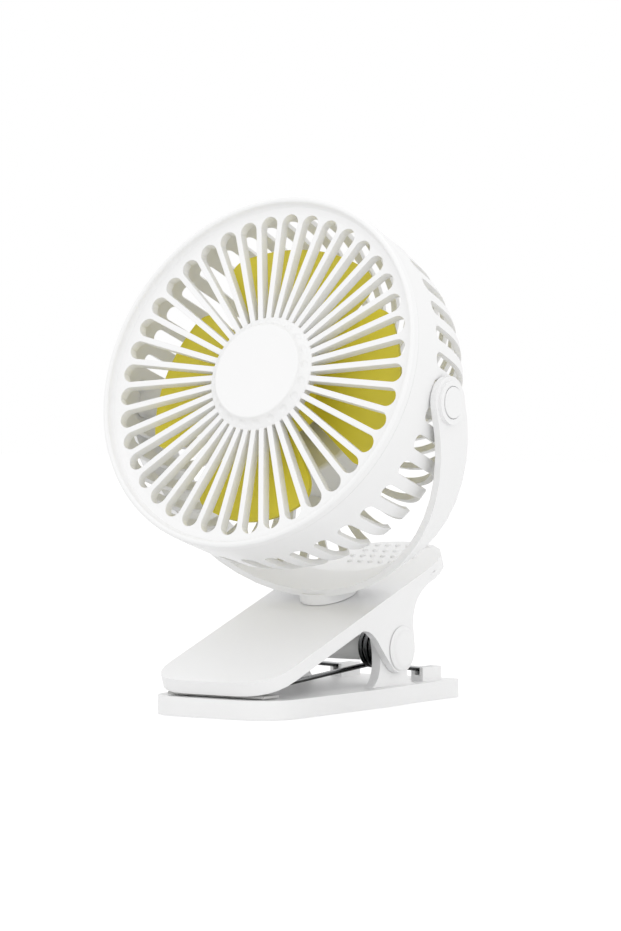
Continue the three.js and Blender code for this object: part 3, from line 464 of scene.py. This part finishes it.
def makeGrille():
    wide, narrow = grille["wideHalf"], grille["narrowHalf"]
    outer, inner = grille["slotOuter"] - wide, grille["slotInner"] + narrow
    rows = list(grille["seamRows"])
    rows += [inner - narrow * math.cos(math.radians(a)) for a in grille["innerArc"]]
    rows += [inner + (outer - inner) * i / grille["ribRows"] for i in range(grille["ribRows"] + 1)]
    rows += [outer + wide * math.sin(math.radians(a)) for a in grille["outerArc"]]
    rows += grille["bandRows"]
    bm = bmesh.new()
    pitch = 2 * math.pi / grille["slots"]
    ribSheet(bm, rows, grilleHalf, grilleSurface, pitch, grille["slots"])
    if sum(f.normal.z for f in bm.faces) < 0:
        bmesh.ops.reverse_faces(bm, faces=bm.faces)
    face = addObject("grilleFace", bm, grilleWhite)
    thick = face.modifiers.new("depth", "SOLIDIFY")
    thick.thickness = grille["depth"] * mm
    thick.offset = -1
    bakeModifiers(face)
    roundEdges(face, grille["edge"] * mm, 3, 60)
    bm = bmesh.new()
    # the hub disc, with a rounded edge and a sloping side
    rise = grille["hubRise"]
    cornerAt, cornerDrop, cornerRadius = grille["discCorner"]
    disc = [(0, rise)] + [(r, rise - grille["discSag"] * r) for r in grille["discTop"]]
    disc += arcPoints((cornerAt, rise - cornerDrop), cornerRadius, 90, 15, 6)
    disc += grille["discSide"]
    turned(bm, disc, grille["discSteps"])
    closeUp(bm)
    hub = addObject("hubDisc", bm, grilleWhite)
    cutNotches(hub)
    bm = bmesh.new()
    # the lip round the face, with its skirt
    lip = arcPoints(grille["lipCentre"], grille["lipRadius"], 0, 180, 10)
    turned(bm, grille["skirt"] + lip + grille["lipFoot"], grille["lipSteps"])
    closeUp(bm)
    bm.from_mesh(face.data)
    bm.from_mesh(hub.data)
    bmesh.ops.transform(bm, matrix=headMatrix, verts=bm.verts)
    bpy.data.objects.remove(face)
    bpy.data.objects.remove(hub)
    item = addObject("front_grille_fine", bm, grilleWhite)
    smoothShade(item, 40)
    place(item, "head", "white_plastic", "front_grille")


def cutNotches(item):
    # small oval hollows round the hub disc's sloping side
    bm = bmesh.new()
    lean = Matrix.Rotation(math.radians(notch["lean"]), 3, "Y")
    for i in range(notch["count"]):
        spread = Matrix.Rotation((i + 0.5) * 2 * math.pi / notch["count"], 3, "Z")
        made = bmesh.ops.create_uvsphere(bm, u_segments=20, v_segments=12, radius=1.0)
        bmesh.ops.scale(bm, vec=notch["size"], verts=made["verts"])
        bmesh.ops.rotate(bm, cent=(0, 0, 0), matrix=lean, verts=made["verts"])
        bmesh.ops.translate(bm, vec=notch["place"], verts=made["verts"])
        bmesh.ops.rotate(bm, cent=(0, 0, 0), matrix=spread, verts=made["verts"])
    cutter = addObject("notchCutter", bm, grilleWhite)
    cut = item.modifiers.new("notches", "BOOLEAN")
    cut.operation = "DIFFERENCE"
    cut.object = cutter
    cut.solver = "EXACT"
    bakeModifiers(item)
    bpy.data.objects.remove(cutter)


makeGrille()
print("grille made")


housing = {
    "outline": [(72.9, 0.7), (72.85, -4), (72.65, -9), (72.45, -13.8), (72.1, -20), (71.4, -28), (70.4, -33.5),
                (69.0, -38), (67.4, -42), (65.0, -46.5), (62.0, -50.2), (58.2, -53.5), (53.0, -56.2),
                (47.0, -57.8), (41.0, -58.0), (36.5, -58.0)],
    "slots": 40, "slotStart": 13.8, "slotHalf": 3.1, "fullRadius": 66.0, "endRadius": 37.5,
    "swirl": math.radians(16), "wall": 2.2, "podRadius": 33.0, "podWall": 2.0, "podFront": 31.0, "depth": 58.0,
    "edge": 0.55, "lineSteps": 6, "sideRows": 5, "startArc": (0, 18, 34, 50, 66, 90), "barRows": 34,
    "endHalf": 1.9, "endArc": (30, 60, 90), "podCorner": 2, "floor": 2.2, "podLip": 0.4, "podSteps": 120,
}
pivotBoss = {"radius": 0.0066, "length": 0.014, "offset": 0.06505}


def makeHousing():
    line = curveThrough(housing["outline"], housing["lineSteps"])
    lengths = [0]
    for a, b in zip(line, line[1:]):
        lengths.append(lengths[-1] + (b - a).length)
    first = next(i for i, p in enumerate(line) if p.y <= -housing["slotStart"] + 1e-6)
    origin = lengths[first]
    end = next(l for l, p in zip(lengths, line) if p.x <= housing["endRadius"]) - origin

    def at(length):
        i = max(1, next((k for k, l in enumerate(lengths) if l >= length + origin), len(lengths) - 1))
        share = (length + origin - lengths[i - 1]) / (lengths[i] - lengths[i - 1])
        return line[i - 1].lerp(line[i], share)

    def half(length):
        if length <= 0 or length >= end:
            return 0
        size = housing["slotHalf"] * min(1, at(length).x / housing["fullRadius"])
        if length < housing["slotHalf"]:
            size *= math.sqrt(max(0, 1 - (1 - length / housing["slotHalf"]) ** 2))
        if end - length < size:
            size = math.sqrt(max(0, size ** 2 - (size - end + length) ** 2))
        return size

    def surface(length):
        point = at(length)
        inwards = (housing["fullRadius"] - point.x) / (housing["fullRadius"] - housing["endRadius"])
        return point.x, point.y, -housing["swirl"] * max(0, inwards)

    r = housing["slotHalf"]
    rows, last = housing["barRows"], housing["endHalf"]
    stations = [-origin + origin * k / housing["sideRows"] for k in range(housing["sideRows"])]
    stations += [r * (1 - math.cos(math.radians(a))) for a in housing["startArc"]]
    stations += [r + (end - last - r) * k / rows for k in range(1, rows + 1)]
    stations += [end - last + last * math.sin(math.radians(a)) for a in housing["endArc"]]
    stations += [lengths[-1] - origin]
    bm = bmesh.new()
    ribSheet(bm, stations, half, surface, 2 * math.pi / housing["slots"], housing["slots"])
    side = [f for f in bm.faces if abs(f.normal.z) < 0.5][0]
    if side.normal.dot(Vector((side.calc_center_median().x, side.calc_center_median().y, 0))) < 0:
        bmesh.ops.reverse_faces(bm, faces=bm.faces)
    shell = addObject("housingShell", bm, shellWhite)
    thick = shell.modifiers.new("wall", "SOLIDIFY")
    thick.thickness = housing["wall"] * mm
    thick.offset = -1
    bakeModifiers(shell)
    roundEdges(shell, housing["edge"] * mm, 2, 60)
    bm = bmesh.new()
    bm.from_mesh(shell.data)
    bpy.data.objects.remove(shell)
    addPod(bm)
    closeUp(bm)
    bmesh.ops.transform(bm, matrix=headMatrix, verts=bm.verts)
    addPivotBosses(bm)
    item = addObject("rear_housing_fine", bm, shellWhite)
    smoothShade(item, 40)
    place(item, "head", "white_plastic", "rear_housing")


def addPod(bm):
    # the drum in the middle of the back, open to the rear
    r, wall, front, depth = housing["podRadius"], housing["podWall"], housing["podFront"], housing["depth"]
    corner, floor, lip, join = housing["podCorner"], housing["floor"], housing["podLip"], housing["endRadius"]
    points = [(0, -front)] + arcPoints((r - corner, -front - corner), corner, 90, 0, 5)
    points += [(r, -depth + floor), (join, -depth + floor), (join, -depth)]
    points += [(r - wall + lip, -depth), (r - wall, -depth + lip), (r - wall, -front - wall)]
    points += [(0, -front - wall)]
    turned(bm, points, housing["podSteps"])


def addPivotBosses(bm):
    # round pads on both sides that carry the tilt pivot
    pivot = Vector(joints["head_tilt"]["pos_m"])
    sideways = Matrix.Rotation(math.pi / 2, 3, "Y")
    for side in (1, -1):
        made = bmesh.ops.create_cone(bm, cap_ends=True, segments=64, radius1=pivotBoss["radius"],
                                     radius2=pivotBoss["radius"], depth=pivotBoss["length"])
        bmesh.ops.rotate(bm, cent=(0, 0, 0), matrix=sideways, verts=made["verts"])
        offset = Vector((side * pivotBoss["offset"], 0, 0))
        bmesh.ops.translate(bm, vec=pivot + offset, verts=made["verts"])


makeHousing()
print("housing made")


# ---------- impeller ----------

fan = {
    "blades": 4, "tip": 57.0, "root": 18.0, "frontDepth": 7.0, "rearDepth": 19.0, "span": 73.0,
    "turn": -1.5, "thickness": 1.5, "corner": 9.0, "camber": 1.2, "edge": 0.5,
    "hubRadius": 19.0, "hubFront": 5.4, "hubDepth": 16.0, "hubCorner": 2.2, "hubWall": 1.8,
    "sleeveRadius": 4, "sleeveLength": 7, "boreRadius": 1.3, "hubSteps": 96,
}


def makeImpeller():
    blades = bmesh.new()
    grid = bmesh.ops.create_grid(blades, x_segments=24, y_segments=28, size=0.5)
    for vert in grid["verts"]:
        u, v = vert.co.x + 0.5, vert.co.y + 0.5
        radius = fan["root"] + (fan["tip"] - fan["root"]) * math.sin(u * math.pi / 2)
        past = max(0, (radius - fan["tip"] + fan["corner"]) / fan["corner"])
        trim = fan["corner"] * (1 - math.sqrt(max(0, 1 - past ** 2))) / radius
        half = math.radians(fan["span"]) / 2 - trim
        angle = math.radians(fan["turn"]) + (v - 0.5) * 2 * half
        share = 0.5 + (v - 0.5) * 2 * half / math.radians(fan["span"])
        camber = fan["camber"] * math.sin(math.pi * share) * (radius - fan["root"]) / (fan["tip"] - fan["root"])
        depth = fan["rearDepth"] + (fan["frontDepth"] - fan["rearDepth"]) * share + camber
        vert.co = Vector((radius * math.cos(angle), radius * math.sin(angle), -depth)) * mm
    bmesh.ops.spin(blades, geom=list(blades.faces), cent=(0, 0, 0), axis=(0, 0, 1), steps=fan["blades"] - 1,
                   angle=2 * math.pi * (fan["blades"] - 1) / fan["blades"], use_duplicate=True)
    bmesh.ops.remove_doubles(blades, verts=blades.verts, dist=nearly["seam"])
    bmesh.ops.recalc_face_normals(blades, faces=blades.faces)
    sheet = addObject("bladeSheet", blades, bladeYellow)
    thick = sheet.modifiers.new("thickness", "SOLIDIFY")
    thick.thickness = fan["thickness"] * mm
    thick.offset = 0
    bakeModifiers(sheet)
    roundEdges(sheet, fan["edge"] * mm, 2, 60)
    bm = bmesh.new()
    bm.from_mesh(sheet.data)
    bpy.data.objects.remove(sheet)
    front, back, r = -fan["hubFront"], -fan["hubFront"] - fan["hubDepth"], fan["hubRadius"]
    corner, inside = fan["hubCorner"], r - fan["hubWall"]
    sleeve, bore, sleeveEnd = fan["sleeveRadius"], fan["boreRadius"], front - fan["sleeveLength"]
    hub = [(0, front)] + arcPoints((r - corner, front - corner), corner, 90, 0, 6)
    hub += [(r, back), (inside, back), (inside, front - corner), (sleeve, front - corner)]
    hub += [(sleeve, sleeveEnd), (bore, sleeveEnd), (bore, front - corner), (0, front - corner)]
    turned(bm, hub, fan["hubSteps"])
    closeUp(bm)
    bmesh.ops.transform(bm, matrix=headMatrix, verts=bm.verts)
    item = addObject("impeller_fine", bm, bladeYellow)
    smoothShade(item, 40)
    place(item, "impeller", "yellow_plastic", "impeller")


makeImpeller()
print("impeller made")


# ---------- spring ----------

spring = {
    "diameter": 2.0, "coilRadius": 7.25, "turns": 3, "pitch": 2.55, "innerX": 12.4,
    "front": 43.0, "frontZ": 11.2, "rear": 61.0, "rearZ": 11.2, "bend": 4.0,
    "stepsPerTurn": 40, "rearSteps": 10, "legSteps": 12, "bendSteps": 10, "sides": 16,
}


def springLine():
    # rear leg, coil and front leg of one side in mm, then the same mirrored
    s = spring
    hingeY, hingeZ = hingeCentre.y / mm, hingeCentre.z / mm
    bottom = hingeZ - s["coilRadius"]
    rearSlope = math.atan2(bottom - s["rearZ"], s["rear"] - hingeY)
    frontSlope = math.atan2(bottom - s["frontZ"], hingeY + s["front"])
    outer = s["innerX"] + s["turns"] * s["pitch"]
    start = -math.pi / 2 + rearSlope
    end = -math.pi / 2 - frontSlope - 2 * math.pi * s["turns"]
    steps = s["stepsPerTurn"] * s["turns"]
    coil = []
    for i in range(steps + 1):
        angle = start + (end - start) * i / steps
        coil.append(Vector((outer - (outer - s["innerX"]) * i / steps,
                            hingeY + s["coilRadius"] * math.cos(angle),
                            hingeZ + s["coilRadius"] * math.sin(angle))))
    rearEnd = Vector((outer, s["rear"], s["rearZ"]))
    half = [rearEnd.lerp(coil[0], k / s["rearSteps"]) for k in range(s["rearSteps"])] + coil
    legEnd = Vector((s["innerX"], -s["front"] + s["bend"], s["frontZ"]))
    half += [coil[-1].lerp(legEnd, k / s["legSteps"]) for k in range(1, s["legSteps"])]
    for k in range(s["bendSteps"] + 1):
        turn = math.pi / 2 * k / s["bendSteps"]
        half.append(Vector((s["innerX"] - s["bend"] * (1 - math.cos(turn)),
                            -s["front"] + s["bend"] * (1 - math.sin(turn)), s["frontZ"])))
    return half + [Vector((-p.x, p.y, p.z)) for p in reversed(half)]


def makeSpring():
    line = springLine()
    bm = bmesh.new()
    grid = bmesh.ops.create_grid(bm, x_segments=spring["sides"], y_segments=len(line) - 1, size=0.5)
    across = Vector((1, 0, 0))
    frames = []
    for i, point in enumerate(line):
        before = (point - line[i - 1]).normalized() if i else (line[1] - point).normalized()
        after = (line[i + 1] - point).normalized() if i + 1 < len(line) else before
        along = (before + after).normalized()
        across = (across - along * across.dot(along)).normalized()
        frames.append((point, across.copy(), along.cross(across)))
    for vert in grid["verts"]:
        point, first, second = frames[round((vert.co.y + 0.5) * (len(line) - 1))]
        angle = 2 * math.pi * (vert.co.x + 0.5)
        side = first * math.cos(angle) + second * math.sin(angle)
        vert.co = (point + side * spring["diameter"] / 2) * mm
    bmesh.ops.remove_doubles(bm, verts=bm.verts, dist=nearly["seam"])
    rims = [e for e in bm.edges if e.is_boundary]
    bmesh.ops.holes_fill(bm, edges=rims, sides=0)
    bmesh.ops.recalc_face_normals(bm, faces=bm.faces)
    item = addObject("torsion_spring_fine", bm, springChrome)
    item.data.shade_smooth()
    item.data.set_sharp_from_angle(angle=math.radians(50))
    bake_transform(item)
    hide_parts("torsion_spring")


makeSpring()
print("spring made")


# ---------- pieces that keep the CAD's shape, with rounded edges ----------

swivelAxis = Vector(joints["base_swivel"]["axis"])
softRims = {
    "upper_jaw": {"normal": swivelAxis, "width": 1.8},
    "lower_jaw": {"normal": Vector((0, 0, 1)), "width": 0.9},
}
bumps = {"rear": 54.05, "rows": 4, "rowPitch": 6.0, "pitch": 5.0, "wide": 7, "radius": 1.25, "height": 0.95}


def makeBumps():
    # staggered rows of round bumps on the press end of the upper jaw
    slope = Matrix((Vector((1, 0, 0)), swivelAxis.cross(Vector((1, 0, 0))), swivelAxis)).transposed().to_4x4()
    bm = bmesh.new()
    for row in range(bumps["rows"]):
        count = bumps["wide"] - row % 2
        for column in range(count):
            made = bmesh.ops.create_uvsphere(bm, u_segments=24, v_segments=12, radius=bumps["radius"] * mm)
            bmesh.ops.scale(bm, vec=(1, 1, bumps["height"] / bumps["radius"]), verts=made["verts"])
            x = (column - (count - 1) / 2) * bumps["pitch"] * mm
            y = (bumps["rear"] - row * bumps["rowPitch"]) * mm
            bmesh.ops.translate(bm, vec=(x, y, 0), verts=made["verts"])
    bmesh.ops.transform(bm, matrix=Matrix.Translation(joints["base_swivel"]["pos_m"]) @ slope, verts=bm.verts)
    item = addObject("grip_bumps", bm, shellWhite)
    item.data.shade_smooth()
    place(item, "upper_jaw", "white_plastic")


roundedPieces = {
    "lower_jaw": ("lower_jaw", shellWhite, "white_plastic", 0.7),
    "upper_jaw": ("upper_jaw", shellWhite, "white_plastic", 0.9),
    "yoke": ("yoke", shellWhite, "white_plastic", 0.6),
    "pivot_cap_right": ("yoke", shellWhite, "white_plastic", 0.3),
    "pivot_cap_left": ("yoke", shellWhite, "white_plastic", 0.3),
    "hinge_cap_right": ("upper_jaw", shellWhite, "white_plastic", 0.3),
    "hinge_cap_left": ("upper_jaw", shellWhite, "white_plastic", 0.3),
    "rear_cover": ("head", shellWhite, "white_plastic", 0.3),
    "power_button": ("power_button", shellWhite, "white_plastic", 0.4),
    "lower_grip_pad": ("lower_jaw", rubberGrey, "rubber_grey", 0.3),
    "upper_grip_pad": ("upper_jaw", rubberGrey, "rubber_grey", 0.3),
    "spring_sleeve": ("lower_jaw", hiddenWhite, "inner_plastic", 0.2),
    "motor_can": ("head", plainSteel, "steel", 0.5),
    "battery_cell": ("head", blackPlastic, "black_plastic", 0.5),
}
for node, (body, material, slotName, edge) in roundedPieces.items():
    rim = softRims.get(node)
    cadCopy(node, material, body, slotName, edge, rim=rim)
makeBumps()

keptPieces = {
    "foot_pad": rubberGrey, "hinge_pin": plainSteel, "swivel_washer": plainSteel, "swivel_screw": plainSteel,
    "cover_screw_1": plainSteel, "cover_screw_2": plainSteel, "cover_screw_3": plainSteel,
    "motor_shaft": plainSteel, "circuit_board": boardGreen, "switch_body": blackPlastic,
    "usb_socket": plainSteel, "indicator_lens": lensClear, "pivot_screw_right": plainSteel,
    "pivot_screw_left": plainSteel, "friction_washer_right": rubberGrey, "friction_washer_left": rubberGrey,
}
for node, material in keptPieces.items():
    kept = frame["nodes"][node]
    kept.data.materials.clear()
    kept.data.materials.append(material)
print("other pieces dressed")

bpy.context.scene.view_settings.view_transform = "Standard"
